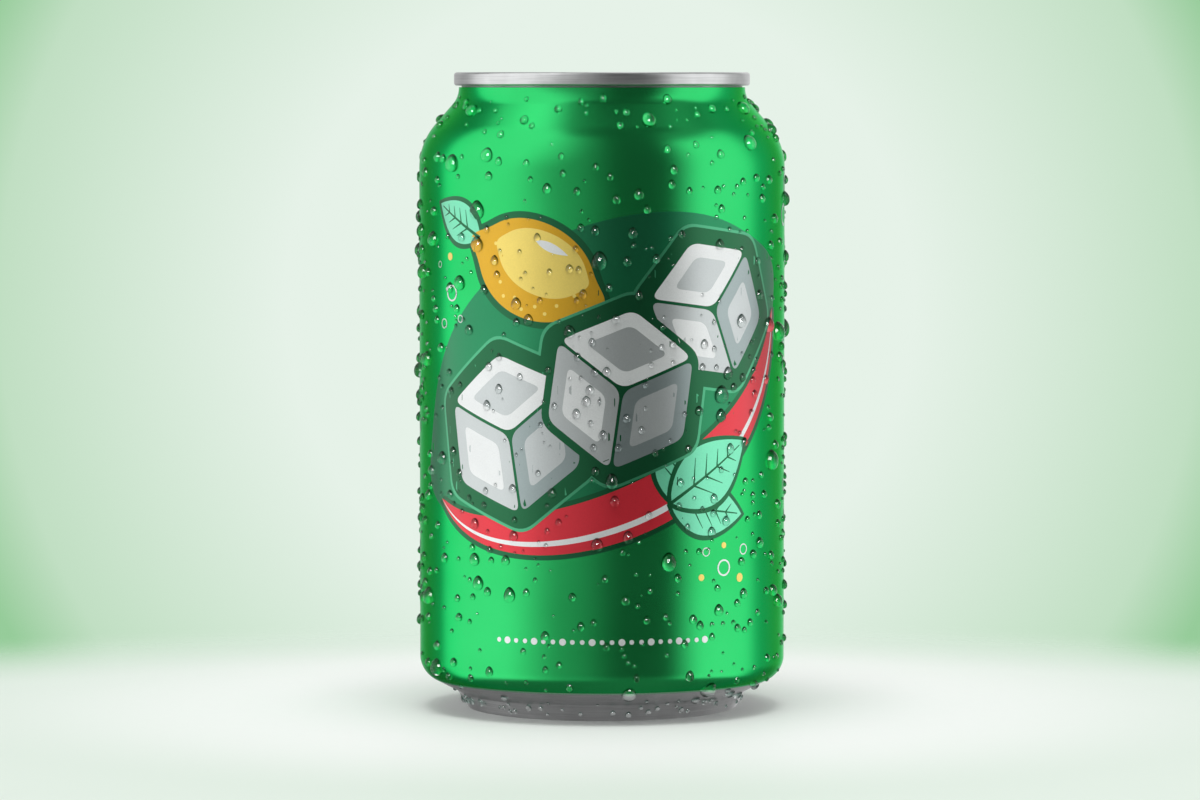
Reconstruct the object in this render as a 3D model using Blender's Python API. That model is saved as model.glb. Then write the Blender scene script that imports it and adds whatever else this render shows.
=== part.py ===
"""Shut 330 ml aluminium drink can, beaded with condensation.

Units are metres. +Z is up and -Y is the front. The origin is the centre of the base, on the
surface that the can stands on. The can has three pieces: the filled body with its droplets,
the end that is seamed onto it, and the pull tab that is riveted to the end.
"""

import math
import random

import bmesh
import bpy
from mathutils import Matrix, Vector

MM = 0.001
GAP = 0.3 * MM
WELD = 0.002 * MM
CHORD_ERROR = 0.04 * MM

# Body: a standard 66.2 mm can, 115.2 mm high
BODY_RADIUS = 33.1 * MM
CAN_HEIGHT = 115.2 * MM
BODY_SEGMENTS = 56

# Neck and shoulder, as corners with a rounding each
NECK_RADIUS = 25.9 * MM
NECK_CORNER_HEIGHT = 111.1 * MM
NECK_ROUNDING = 3.0 * MM
SHOULDER_CORNER_HEIGHT = 102.4 * MM
SHOULDER_ROUNDING = 9.6 * MM

# Taper, foot and domed base
TAPER_CORNER_HEIGHT = 6.6 * MM
TAPER_ROUNDING = 4.5 * MM
FOOT_TOP_RADIUS = 26.1 * MM
FOOT_TOP_HEIGHT = 3.0 * MM
FOOT_TOP_ROUNDING = 1.2 * MM
RING_OUTER_RADIUS = 24.5 * MM
RING_INNER_RADIUS = 23.0 * MM
RING_ROUNDING = 0.5 * MM
DOME_EDGE_RADIUS = 22.4 * MM
DOME_EDGE_HEIGHT = 2.2 * MM
DOME_HEIGHT = 10.0 * MM
DOME_STEPS = 5

# End: double seam, chuck wall, countersink and centre panel
SEAM_RADIUS = 26.8 * MM
SEAM_HEIGHT = 2.4 * MM
SEAM_INNER_RADIUS = 25.3 * MM
SEAM_ROUNDING = 0.5 * MM
COUNTERSINK_DEPTH = 6.7 * MM
COUNTERSINK_OUTER_RADIUS = 23.7 * MM
COUNTERSINK_INNER_RADIUS = 22.5 * MM
COUNTERSINK_ROUNDING = 0.4 * MM
PANEL_RADIUS = 22.2 * MM
PANEL_DEPTH = 4.3 * MM
PANEL_THICKNESS = 1.0 * MM
SHEET = 0.3 * MM
END_SEGMENTS = 48

# Sunk area of the panel: the hull of a wide front circle and a narrower back one
SUNK_DEPTH = 0.5 * MM
SUNK_FRONT = (0.0, -9.5 * MM, 11.5 * MM)
SUNK_BACK = (0.0, 9.8 * MM, 9.2 * MM)

# Rivet that holds the tab
RIVET_RADIUS = 1.7 * MM
RIVET_HEAD_RADIUS = 2.7 * MM
RIVET_HEAD_THICKNESS = 0.5 * MM
RIVET_SIDES = 20

# Pull tab: the hull of its nose and heel circles, (x, y, radius) each
TAB_NOSE = (0.0, -1.0 * MM, 7.9 * MM)
TAB_HEEL = (0.0, 9.6 * MM, 6.9 * MM)
TAB_THICKNESS = 1.2 * MM
TAB_WEB = 0.4 * MM
TAB_EDGE_ROUNDING = 0.3 * MM
TAB_WELL = ((0.0, -1.2 * MM, 6.2 * MM), (0.0, -0.4 * MM, 5.7 * MM))
FINGER_HOLE = ((-1.2 * MM, 10.6 * MM, 3.8 * MM), (1.2 * MM, 10.6 * MM, 3.8 * MM))
OUTLINE_SIDES = 32

# Droplets, largest first
DROPLET_SEED = 330
DROPLET_COUNT = 140
DROPLET_LARGEST = 1.75 * MM
DROPLET_SMALLEST = 0.85 * MM
DROPLET_FALL_OFF = 0.55
DROPLET_LOWEST = 1.0 * MM
DROPLET_HIGHEST = 111.6 * MM
DROPLET_SPACING = 1.3
DROPLET_TRIES = 400
DROPLET_SIDES = 8
DROPLET_STAND_OUT = 0.7
DROPLET_STRETCH = 1.18
DROPLET_SAG = 0.16
DROPLET_BURIED = 0.5 * MM

# Colours are linear
GREEN_PAINT = (0.010, 0.400, 0.085)
BARE_ALUMINIUM = (0.62, 0.63, 0.64)
TAB_ALUMINIUM = (0.70, 0.70, 0.71)


def clear_scene():
    """Remove whatever the open file holds."""
    for item in list(bpy.data.objects):
        bpy.data.objects.remove(item, do_unlink=True)


def metal(name, colour, roughness, metallic):
    """Principled material with one colour."""
    material = bpy.data.materials.new(name)
    material.use_nodes = True
    shader = material.node_tree.nodes["Principled BSDF"]
    shader.inputs["Base Color"].default_value = (*colour, 1.0)
    shader.inputs["Roughness"].default_value = roughness
    shader.inputs["Metallic"].default_value = metallic
    return material


def add_piece(name, mesh, material, collection=None):
    """Object made from a bmesh, which is freed."""
    data = bpy.data.meshes.new(name)
    mesh.to_mesh(data)
    mesh.free()
    data.materials.append(material)
    data.shade_smooth()
    data.set_sharp_from_angle(angle=math.radians(40))
    piece = bpy.data.objects.new(name, data)
    (collection or bpy.context.scene.collection).objects.link(piece)
    return piece


def add_cutter(name, mesh, material):
    """Guide object that a Boolean reads and that isn't part of the can."""
    cutter = add_piece(name, mesh, material)
    cutter.hide_render = True
    cutter.display_type = "WIRE"
    return cutter


def combine(piece, operand, operation):
    """Boolean of a piece with one object, kept as a modifier."""
    modifier = piece.modifiers.new(operand.name, "BOOLEAN")
    modifier.operation = operation
    modifier.solver = "EXACT"
    modifier.object = operand


def rounded(corners):
    """Points of (radius, height) along corners of (radius, height, rounding).

    A rounding gets as many steps as keep its chords within CHORD_ERROR of the true arc.
    """
    points = []
    for index, (radius, height, rounding) in enumerate(corners):
        corner = Vector((radius, height))
        if not rounding:
            points.append(corner)
            continue
        back = (Vector(corners[index - 1][:2]) - corner).normalized()
        ahead = (Vector(corners[index + 1][:2]) - corner).normalized()
        half = back.angle(ahead) / 2
        reach = rounding / math.tan(half)
        centre = corner + (back + ahead).normalized() * rounding / math.sin(half)
        first = corner + back * reach - centre
        last = corner + ahead * reach - centre
        start = math.atan2(first.y, first.x)
        turn = math.remainder(math.atan2(last.y, last.x) - start, 2 * math.pi)
        steps = math.ceil(abs(turn) / (2 * math.acos(1 - CHORD_ERROR / rounding)))
        for step in range(steps + 1):
            angle = start + turn * step / steps
            points.append(centre + rounding * Vector((math.cos(angle), math.sin(angle))))
    return points


def turned(outline, segments):
    """Closed mesh that an outline sweeps in one turn about the Z axis."""
    mesh = bmesh.new()
    verts = [mesh.verts.new((point.x, 0.0, point.y)) for point in outline]
    edges = [mesh.edges.new(pair) for pair in zip(verts, verts[1:])]
    bmesh.ops.spin(mesh, geom=verts + edges, cent=(0, 0, 0), axis=(0, 0, 1), angle=2 * math.pi,
                   steps=segments, use_merge=True, use_duplicate=False)
    bmesh.ops.remove_doubles(mesh, verts=mesh.verts, dist=WELD)
    bmesh.ops.recalc_face_normals(mesh, faces=mesh.faces)
    return mesh


def circle_hull(first, second, sides):
    """Outline round two circles of (x, y, radius), as (x, y) points in order."""
    apart = Vector((second[0] - first[0], second[1] - first[1]))
    heading = math.atan2(apart.y, apart.x)
    lean = math.acos((first[2] - second[2]) / apart.length)
    points = []
    for (x, y, radius), start, turn in ((second, heading - lean, 2 * lean),
                                        (first, heading + lean, 2 * (math.pi - lean))):
        steps = max(2, round(sides * turn / (2 * math.pi)))
        for step in range(steps + 1):
            angle = start + turn * step / steps
            points.append((x + radius * math.cos(angle), y + radius * math.sin(angle)))
    return points


def round_outline(circle, sides):
    """Points round one circle of (x, y, radius)."""
    x, y, radius = circle
    angles = [2 * math.pi * step / sides for step in range(sides)]
    return [(x + radius * math.cos(angle), y + radius * math.sin(angle)) for angle in angles]


def prism(outline, low, high):
    """Upright closed mesh over a flat outline."""
    mesh = bmesh.new()
    floor = mesh.faces.new([mesh.verts.new((x, y, low)) for x, y in outline])
    raised = bmesh.ops.extrude_face_region(mesh, geom=[floor])["geom"]
    verts = [item for item in raised if isinstance(item, bmesh.types.BMVert)]
    bmesh.ops.translate(mesh, verts=verts, vec=(0, 0, high - low))
    bmesh.ops.recalc_face_normals(mesh, faces=mesh.faces)
    return mesh


def end_underside(gap):
    """Corners under the end from the seam to the axis, moved away from it by a gap."""
    seam_floor = CAN_HEIGHT - SEAM_HEIGHT - gap
    sink_floor = CAN_HEIGHT - COUNTERSINK_DEPTH - SHEET - gap
    panel_floor = CAN_HEIGHT - PANEL_DEPTH - PANEL_THICKNESS - gap
    wall_lean = (SEAM_INNER_RADIUS - COUNTERSINK_OUTER_RADIUS) / COUNTERSINK_DEPTH
    sink_outer = COUNTERSINK_OUTER_RADIUS + SHEET + gap
    return [
        (sink_outer + wall_lean * (seam_floor - sink_floor), seam_floor, 0),
        (sink_outer, sink_floor, 0),
        (COUNTERSINK_INNER_RADIUS - SHEET - gap, sink_floor, 0),
        (PANEL_RADIUS - SHEET - gap, panel_floor, 0),
        (0, panel_floor, 0),
    ]


def outer_wall():
    """Corners of the body's outside, from the top of the neck to the ring it stands on."""
    return [
        (NECK_RADIUS, CAN_HEIGHT - SEAM_HEIGHT - GAP, 0),
        (NECK_RADIUS, NECK_CORNER_HEIGHT, NECK_ROUNDING),
        (BODY_RADIUS, SHOULDER_CORNER_HEIGHT, SHOULDER_ROUNDING),
        (BODY_RADIUS, TAPER_CORNER_HEIGHT, TAPER_ROUNDING),
        (FOOT_TOP_RADIUS, FOOT_TOP_HEIGHT, FOOT_TOP_ROUNDING),
        (RING_OUTER_RADIUS, 0, RING_ROUNDING),
        (RING_INNER_RADIUS, 0, RING_ROUNDING),
        (DOME_EDGE_RADIUS, DOME_EDGE_HEIGHT, 0),
    ]


def dome():
    """Points of the round dome under the base, from its edge to the axis."""
    rise = DOME_HEIGHT - DOME_EDGE_HEIGHT
    sphere = (DOME_EDGE_RADIUS ** 2 + rise ** 2) / (2 * rise)
    widest = math.asin(DOME_EDGE_RADIUS / sphere)
    points = []
    for step in range(1, DOME_STEPS + 1):
        angle = widest * (1 - step / DOME_STEPS)
        points.append(Vector((sphere * math.sin(angle),
                              DOME_HEIGHT - sphere * (1 - math.cos(angle)))))
    return points


def wall_point(outline, height):
    """Radius of the outside at a height, and its outward normal as (radial, up)."""
    for upper, lower in zip(outline, outline[1:]):
        if upper.y >= height > lower.y:
            share = (upper.y - height) / (upper.y - lower.y)
            along = (lower - upper).normalized()
            return upper.x + share * (lower.x - upper.x), Vector((-along.y, along.x))
    raise ValueError("the height is off the wall")


def droplet_spots(outline):
    """Place, frame and radius of each droplet, largest first and none touching another."""
    draw = random.Random(DROPLET_SEED)
    spots = []
    for number in range(DROPLET_COUNT):
        share = (number / (DROPLET_COUNT - 1)) ** DROPLET_FALL_OFF
        size = DROPLET_LARGEST + (DROPLET_SMALLEST - DROPLET_LARGEST) * share
        for _ in range(DROPLET_TRIES):
            turn = draw.uniform(0, 2 * math.pi)
            reach = DROPLET_STRETCH * size
            height = draw.uniform(DROPLET_LOWEST + reach, DROPLET_HIGHEST - reach)
            radius, (outward, up) = wall_point(outline, height)
            spin = Matrix.Rotation(turn, 3, "Z")
            place = spin @ Vector((radius, 0, height))
            clear = all((place - other).length > DROPLET_SPACING * (size + other_size)
                        for other, _, other_size in spots)
            if clear:
                normal = spin @ Vector((outward, 0, up))
                side = spin @ Vector((0, 1, 0))
                spots.append((place, (side, normal.cross(side), normal), size))
                break
    return spots


def droplet(place, frame, size):
    """Low closed bead of water, part sunk in the wall and fuller at its lower side."""
    side, upward, normal = frame
    stand_out = DROPLET_STAND_OUT * size
    levels = ((0.9, -DROPLET_BURIED, 0.0), (0.82, 0.6 * stand_out, DROPLET_SAG))
    mesh = bmesh.new()
    rings = []
    for spread, rise, sag in levels:
        ring = []
        for step in range(DROPLET_SIDES):
            angle = 2 * math.pi * step / DROPLET_SIDES
            across = spread * math.cos(angle)
            along = DROPLET_STRETCH * spread * math.sin(angle) - sag
            ring.append(mesh.verts.new(place + size * (across * side + along * upward) + rise * normal))
        rings.append(ring)
    tip = mesh.verts.new(place - size * DROPLET_SAG * upward + stand_out * normal)
    mesh.faces.new(rings[0])
    for step in range(DROPLET_SIDES):
        after = (step + 1) % DROPLET_SIDES
        mesh.faces.new((rings[0][step], rings[0][after], rings[1][after], rings[1][step]))
        mesh.faces.new((rings[1][step], rings[1][after], tip))
    bmesh.ops.recalc_face_normals(mesh, faces=mesh.faces)
    return mesh


def fuse(piece, collection):
    """Join a collection's objects to a piece by one applied union, then remove them."""
    modifier = piece.modifiers.new("droplets", "BOOLEAN")
    modifier.operation = "UNION"
    modifier.solver = "EXACT"
    modifier.operand_type = "COLLECTION"
    modifier.collection = collection
    graph = bpy.context.evaluated_depsgraph_get()
    fused = bpy.data.meshes.new_from_object(piece.evaluated_get(graph), depsgraph=graph)
    piece.modifiers.remove(modifier)
    piece.data = fused
    for item in list(collection.objects):
        bpy.data.objects.remove(item, do_unlink=True)
    bpy.data.collections.remove(collection)


def make_body():
    """Filled body: wall, shoulder, foot and dome, with the droplets fused on."""
    paint = metal("green_paint", GREEN_PAINT, roughness=0.3, metallic=0.4)
    outside = rounded(outer_wall())
    under_end = list(reversed(rounded(end_underside(GAP))))
    body = add_piece("can_body", turned(under_end + outside + dome(), BODY_SEGMENTS), paint)
    beads = bpy.data.collections.new("droplets")
    bpy.context.scene.collection.children.link(beads)
    for number, spot in enumerate(droplet_spots(outside)):
        add_piece(f"droplet_{number}", droplet(*spot), paint, beads)
    fuse(body, beads)


def make_end():
    """End with its seam and sunk panel, and the rivet that stands on the panel."""
    aluminium = metal("bare_aluminium", BARE_ALUMINIUM, roughness=0.3, metallic=1.0)
    panel = CAN_HEIGHT - PANEL_DEPTH
    sink = CAN_HEIGHT - COUNTERSINK_DEPTH
    corners = [
        (0, panel, 0),
        (PANEL_RADIUS, panel, COUNTERSINK_ROUNDING),
        (COUNTERSINK_INNER_RADIUS, sink, COUNTERSINK_ROUNDING),
        (COUNTERSINK_OUTER_RADIUS, sink, COUNTERSINK_ROUNDING),
        (SEAM_INNER_RADIUS, CAN_HEIGHT, SEAM_ROUNDING),
        (SEAM_RADIUS, CAN_HEIGHT, SEAM_ROUNDING),
        (SEAM_RADIUS, CAN_HEIGHT - SEAM_HEIGHT, SEAM_ROUNDING),
        *end_underside(0),
    ]
    end = add_piece("can_end", turned(rounded(corners), END_SEGMENTS), aluminium)
    sunk_floor = panel - SUNK_DEPTH
    sunk_outline = circle_hull(SUNK_FRONT, SUNK_BACK, OUTLINE_SIDES)
    sunk = add_cutter("sunk_area", prism(sunk_outline, sunk_floor, CAN_HEIGHT), aluminium)
    combine(end, sunk, "DIFFERENCE")
    head = sunk_floor + GAP + TAB_WEB + GAP
    rivet_outline = rounded([
        (0, head + RIVET_HEAD_THICKNESS, 0),
        (RIVET_HEAD_RADIUS, head + RIVET_HEAD_THICKNESS, GAP),
        (RIVET_HEAD_RADIUS, head, 0),
        (RIVET_RADIUS, head, 0),
        (RIVET_RADIUS, sunk_floor - GAP, 0),
        (0, sunk_floor - GAP, 0),
    ])
    combine(end, add_cutter("rivet", turned(rivet_outline, RIVET_SIDES), aluminium), "UNION")


def make_tab():
    """Pull tab with a finger hole at its heel and a thin web round the rivet."""
    aluminium = metal("tab_aluminium", TAB_ALUMINIUM, roughness=0.25, metallic=1.0)
    low = CAN_HEIGHT - PANEL_DEPTH - SUNK_DEPTH + GAP
    high = low + TAB_THICKNESS
    outline = circle_hull(TAB_NOSE, TAB_HEEL, OUTLINE_SIDES)
    tab = add_piece("pull_tab", prism(outline, low, high), aluminium)
    bevel = tab.modifiers.new("curled_edge", "BEVEL")
    bevel.width = TAB_EDGE_ROUNDING
    bevel.segments = 2
    bevel.limit_method = "ANGLE"
    bevel.angle_limit = math.radians(60)
    cuts = {
        "tab_well": (circle_hull(*TAB_WELL, OUTLINE_SIDES), low + TAB_WEB),
        "finger_hole": (circle_hull(*FINGER_HOLE, OUTLINE_SIDES), low - GAP),
        "rivet_hole": (round_outline((0.0, 0.0, RIVET_RADIUS + GAP), RIVET_SIDES), low - GAP),
    }
    for name, (outline, floor) in cuts.items():
        combine(tab, add_cutter(name, prism(outline, floor, high + GAP), aluminium), "DIFFERENCE")


clear_scene()
make_body()
make_end()
make_tab()
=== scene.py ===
# %% [markdown]
# A shut 330 ml drink can, cold from the fridge and beaded with water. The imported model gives
# the frame: three nodes, can_body, can_end and pull_tab, that stand where they belong. Here
# each of them is replaced by finer pieces: bare metal, green paint, print, water, the end and
# its tab. Everything is in metres, +Z is up and -Y is the front of the label.

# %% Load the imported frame
import math
import random

import bmesh
import bpy
import numpy as np
from mathutils import Matrix, Vector
from mathutils.geometry import delaunay_2d_cdt


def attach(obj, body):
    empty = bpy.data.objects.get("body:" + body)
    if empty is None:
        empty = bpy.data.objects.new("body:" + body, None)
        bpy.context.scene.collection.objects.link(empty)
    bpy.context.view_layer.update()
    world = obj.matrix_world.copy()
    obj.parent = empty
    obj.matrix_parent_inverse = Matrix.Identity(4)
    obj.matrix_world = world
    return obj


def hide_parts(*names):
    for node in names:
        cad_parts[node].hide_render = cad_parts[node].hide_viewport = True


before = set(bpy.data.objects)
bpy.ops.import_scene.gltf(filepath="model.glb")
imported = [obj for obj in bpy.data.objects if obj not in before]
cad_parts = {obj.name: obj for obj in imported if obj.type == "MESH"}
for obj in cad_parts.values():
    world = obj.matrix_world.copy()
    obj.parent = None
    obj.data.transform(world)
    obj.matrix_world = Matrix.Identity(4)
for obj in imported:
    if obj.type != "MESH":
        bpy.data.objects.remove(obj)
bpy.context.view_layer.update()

# %% [markdown]
# Materials and shapes are both made with nodes. A small class stands for one output of a node,
# so that shader maths reads like ordinary sums, and every other node comes from one method.

# %% Values and nodes
MM = 0.001


class Value:
    """Output of a node. Sums and products of values add Math nodes."""

    def __init__(self, nodes, socket):
        self.nodes = nodes
        self.socket = socket

    def math(self, operation, other=0.0):
        """Result of a Math node on this value and another."""
        return self.nodes.add("ShaderNodeMath", {0: self, 1: other}, operation=operation)

    def __add__(self, other):
        return self.math("ADD", other)

    def __sub__(self, other):
        return self.math("SUBTRACT", other)

    def __rsub__(self, other):
        return (self * -1) + other

    def __mul__(self, other):
        return self.math("MULTIPLY", other)

    def __truediv__(self, other):
        return self.math("DIVIDE", other)

    __radd__ = __add__
    __rmul__ = __mul__

    def rise(self, low, high):
        """Smooth step from 0 at low to 1 at high."""
        inputs = {"Value": self, "From Min": low, "From Max": high}
        return self.nodes.add("ShaderNodeMapRange", inputs, interpolation_type="SMOOTHSTEP")


class Nodes:
    """Adds nodes to one tree, for a material, a world or Geometry Nodes."""

    def __init__(self, tree):
        self.tree = tree

    def add(self, kind, inputs=None, output=0, **settings):
        """Node of a kind: its settings first, then the values or links of its sockets."""
        node = self.tree.nodes.new(kind)
        for name, value in settings.items():
            if name == "stops":
                self.set_stops(node.color_ramp.elements, value)
            else:
                setattr(node, name, value)
        for name, value in (inputs or {}).items():
            self.feed(node.inputs[name], value)
        return Value(self, node.outputs[output])

    def feed(self, socket, value):
        """Link a value to a socket, or set the socket to a constant."""
        if isinstance(value, Value):
            self.tree.links.new(value.socket, socket)
        else:
            socket.default_value = value

    def split(self, vector):
        """The three parts of a vector as values."""
        node = self.tree.nodes.new("ShaderNodeSeparateXYZ")
        self.feed(node.inputs[0], vector)
        return [Value(self, output) for output in node.outputs]

    def vector(self, x, y, z):
        """Vector from its three parts."""
        return self.add("ShaderNodeCombineXYZ", {"X": x, "Y": y, "Z": z})

    def carried(self, name, kind="FLOAT"):
        """What each point carries under a name."""
        return self.add("GeometryNodeInputNamedAttribute", {"Name": name}, data_type=kind)

    @staticmethod
    def set_stops(elements, stops):
        """Give a ramp its stops of (position, colour)."""
        while len(elements) < len(stops):
            elements.new(1.0)
        for element, (position, colour) in zip(elements, stops):
            element.position = position
            element.color = (*colour, 1.0)

    def mix(self, factor, first, second):
        """Blend of two colours."""
        node = self.tree.nodes.new("ShaderNodeMix")
        node.data_type = "RGBA"
        sockets = {item.name: item for item in node.inputs if item.enabled}
        for name, value in (("Factor", factor), ("A", first), ("B", second)):
            self.feed(sockets[name], value if isinstance(value, (Value, float)) else (*value, 1.0))
        return Value(self, next(item for item in node.outputs if item.enabled))


# %% [markdown]
# A material here is a Principled shader with constants on its own sockets, and with a few
# values that vary: colour, roughness and the bump of the surface. The patterns read Object
# coordinates, which are metres on the can, so a noise scale of 1000 makes grains of 1 mm.

# %% Finishes
class Finish(Nodes):
    """Material with a Principled shader that reads the can's own coordinates."""

    def __init__(self, name, **constants):
        self.material = bpy.data.materials.new(name)
        self.material.use_nodes = True
        super().__init__(self.material.node_tree)
        self.shader = self.tree.nodes["Principled BSDF"]
        for label, value in constants.items():
            self.shader.inputs[label.replace("_", " ")].default_value = value
        self.place = self.add("ShaderNodeTexCoord", output="Object")

    def axes(self):
        """The three coordinates as values."""
        return self.split(self.place)

    def noise(self, scale, detail=2.0, stretch=(1.0, 1.0, 1.0), place=None):
        """Noise between 0 and 1 with a scale in grains per metre."""
        stretched = self.add("ShaderNodeMapping", {"Vector": place or self.place, "Scale": stretch})
        return self.add("ShaderNodeTexNoise",
                        {"Vector": stretched, "Scale": scale, "Detail": detail})

    def grained(self, tone, low, high):
        """Base colour between two colours, by a tone that stays near one half."""
        colour = self.mix(tone.rise(0.3, 0.7), low, high)
        self.set("Base Color", colour)
        return colour

    def bump(self, height, distance, strength=1.0):
        """Bump from a height between 0 and 1, with the distance in metres."""
        inputs = {"Height": height, "Distance": distance, "Strength": strength}
        self.set("Normal", self.add("ShaderNodeBump", inputs))

    def set(self, name, value):
        """Give one socket of the shader a value."""
        self.feed(self.shader.inputs[name], value)


# %% [markdown]
# Shapes that follow a rule are grown by Geometry Nodes. A tree gets named inputs, and its last
# nodes make the instances real and set the material. The result is then kept as a plain mesh,
# so that the finished piece has no modifier left.

# %% Geometry Nodes helpers
def new_tree(name, sizes):
    """Tree that is given a mesh, a material and named sizes, as Nodes and values."""
    tree = bpy.data.node_groups.new(name, "GeometryNodeTree")
    kinds = {label: "Int" if isinstance(size, int) else "Float" for label, size in sizes.items()}
    kinds = {"Geometry": "Geometry", **kinds, "Material": "Material"}
    for label, kind in kinds.items():
        socket = tree.interface.new_socket(label, in_out="INPUT", socket_type=f"NodeSocket{kind}")
        if label in sizes:
            socket.default_value = sizes[label]
    tree.interface.new_socket("Geometry", in_out="OUTPUT", socket_type="NodeSocketGeometry")
    nodes = Nodes(tree)
    entry = tree.nodes.new("NodeGroupInput")
    return nodes, {label: Value(nodes, entry.outputs[label]) for label in kinds}


def close_tree(nodes, geometry, material):
    """Realize the instances, set the material and end the tree."""
    real = nodes.add("GeometryNodeRealizeInstances", {"Geometry": geometry})
    dressed = nodes.add("GeometryNodeSetMaterial", {"Geometry": real, "Material": material})
    end = nodes.tree.nodes.new("NodeGroupOutput")
    nodes.feed(end.inputs["Geometry"], dressed)
    return nodes.tree


def linked(name, data):
    """New object in the scene for a mesh, a light or a camera."""
    made = bpy.data.objects.new(name, data)
    bpy.context.scene.collection.objects.link(made)
    return made


def grown(name, tree, start, settings):
    """Plain object that a tree grows from a start mesh."""
    piece = linked(name, start)
    modifier = piece.modifiers.new(tree.name, "NODES")
    modifier.node_group = tree
    for item in tree.interface.items_tree:
        if item.in_out == "INPUT" and item.name in settings:
            modifier[item.identifier] = settings[item.name]
    graph = bpy.context.evaluated_depsgraph_get()
    mesh = bpy.data.meshes.new_from_object(piece.evaluated_get(graph), depsgraph=graph)
    piece.modifiers.remove(modifier)
    piece.data = mesh
    return piece


def plain_mesh(name, points, edges=(), faces=()):
    """Mesh from lists of points, edges and faces."""
    mesh = bpy.data.meshes.new(name)
    mesh.from_pydata([tuple(point) for point in points], list(edges), list(faces))
    return mesh


def carry(mesh, name, kind, values):
    """Let each point of a mesh carry a value under a name."""
    mesh.attributes.new(name, kind, "POINT").data.foreach_set("value", values)


def finish_mesh(piece, sharp=40.0):
    """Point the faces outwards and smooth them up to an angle."""
    mesh = bmesh.new()
    mesh.from_mesh(piece.data)
    for edge in [edge for edge in mesh.edges if not edge.link_faces]:
        mesh.edges.remove(edge)
    bmesh.ops.recalc_face_normals(mesh, faces=mesh.faces)
    open_edges = sum(1 for edge in mesh.edges if len(edge.link_faces) != 2)
    mesh.to_mesh(piece.data)
    mesh.free()
    piece.data.shade_smooth()
    piece.data.set_sharp_from_angle(angle=math.radians(sharp))
    triangles = sum(len(face.vertices) - 2 for face in piece.data.polygons)
    print(f"{piece.name}: {triangles} triangles, {open_edges} open edges")


def fit(piece, slot, *nodes):
    """Make a piece ride on the can and hide the imported nodes it stands for; slot is not used."""
    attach(piece, "root")
    if nodes:
        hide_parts(*nodes)


# %% [markdown]
# The body of a real can is drawn and ironed from one sheet, then necked in at the top. Its
# section is a line of corners, each with a rounding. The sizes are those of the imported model.
# Only the arcs are finer here, and the two arcs of the neck are wider, as on a smooth neck.

# %% Sizes of the can
BODY_RADIUS = 33.1 * MM
CAN_HEIGHT = 115.2 * MM
SEAM_HEIGHT = 2.4 * MM
GAP = 0.3 * MM
FINE_CHORD = 0.004 * MM
NODE_CHORD = 0.04 * MM
NODE_WALL = [
    (25.9 * MM, CAN_HEIGHT - SEAM_HEIGHT - GAP, 0),
    (25.9 * MM, 111.1 * MM, 3.0 * MM),
    (BODY_RADIUS, 102.4 * MM, 9.6 * MM),
    (BODY_RADIUS, 6.6 * MM, 4.5 * MM),
    (26.1 * MM, 3.0 * MM, 1.2 * MM),
    (24.5 * MM, 0, 0.5 * MM),
    (23.0 * MM, 0, 0.5 * MM),
    (22.4 * MM, 2.2 * MM, 0),
]
SMOOTH_NECK = [(25.9 * MM, 110.75 * MM, 4.5 * MM), (BODY_RADIUS, 102.4 * MM, 12.0 * MM)]
OUTER_WALL = NODE_WALL[:1] + SMOOTH_NECK + NODE_WALL[3:]


def rounded(corners, chord_error):
    """Points of (radius, height) along corners of (radius, height, rounding)."""
    points = []
    for index, (radius, height, rounding) in enumerate(corners):
        corner = Vector((radius, height))
        if not rounding:
            points.append(corner)
            continue
        back = (Vector(corners[index - 1][:2]) - corner).normalized()
        ahead = (Vector(corners[index + 1][:2]) - corner).normalized()
        half = back.angle(ahead) / 2
        reach = rounding / math.tan(half)
        centre = corner + (back + ahead).normalized() * rounding / math.sin(half)
        first = corner + back * reach - centre
        last = corner + ahead * reach - centre
        start = math.atan2(first.y, first.x)
        turn = math.remainder(math.atan2(last.y, last.x) - start, 2 * math.pi)
        steps = math.ceil(abs(turn) / (2 * math.acos(1 - chord_error / rounding)))
        for step in range(steps + 1):
            angle = start + turn * step / steps
            points.append(centre + rounding * Vector((math.cos(angle), math.sin(angle))))
    return points


# %% [markdown]
# Turning is one rule: a row of points swept round the axis. The tree takes the section as the
# object's own mesh, lays out a grid with one row for each section point, and moves each grid
# point to its place in the turn. The points that meet on the axis or at the seam are merged.

# %% Turning tree
def turning_tree():
    """Tree that turns a section about the Z axis."""
    nodes, given = new_tree("turn_section", {"Segments": 240, "Merge Distance": 0.001 * MM})
    count = nodes.add("GeometryNodeAttributeDomainSize", {"Geometry": given["Geometry"]})
    grid = nodes.add("GeometryNodeMeshGrid",
                     {"Vertices X": given["Segments"] + 1, "Vertices Y": count})
    index = nodes.add("GeometryNodeInputIndex")
    turn = (index / count).math("FLOOR")
    row = index - turn * count
    position = nodes.add("GeometryNodeInputPosition")
    sample = {"Geometry": given["Geometry"], "Value": position, "Index": row}
    section = nodes.add("GeometryNodeSampleIndex", sample, data_type="FLOAT_VECTOR")
    angle = turn * (2 * math.pi) / given["Segments"]
    turned = nodes.add("ShaderNodeVectorRotate", {"Vector": section, "Angle": angle},
                       rotation_type="Z_AXIS")
    placed = nodes.add("GeometryNodeSetPosition", {"Geometry": grid, "Position": turned})
    merged = nodes.add("GeometryNodeMergeByDistance",
                       {"Geometry": placed, "Distance": given["Merge Distance"]})
    return close_tree(nodes, merged, given["Material"])


TURNING = turning_tree()
BODY_SEGMENTS = 240


def turn_piece(name, section, material, segments=BODY_SEGMENTS):
    """Closed piece turned from a section of (radius, height) points."""
    start = plain_mesh(name, [(point[0], 0.0, point[1]) for point in section])
    piece = grown(name, TURNING, start, {"Segments": segments, "Material": material})
    finish_mesh(piece)
    return piece


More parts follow.
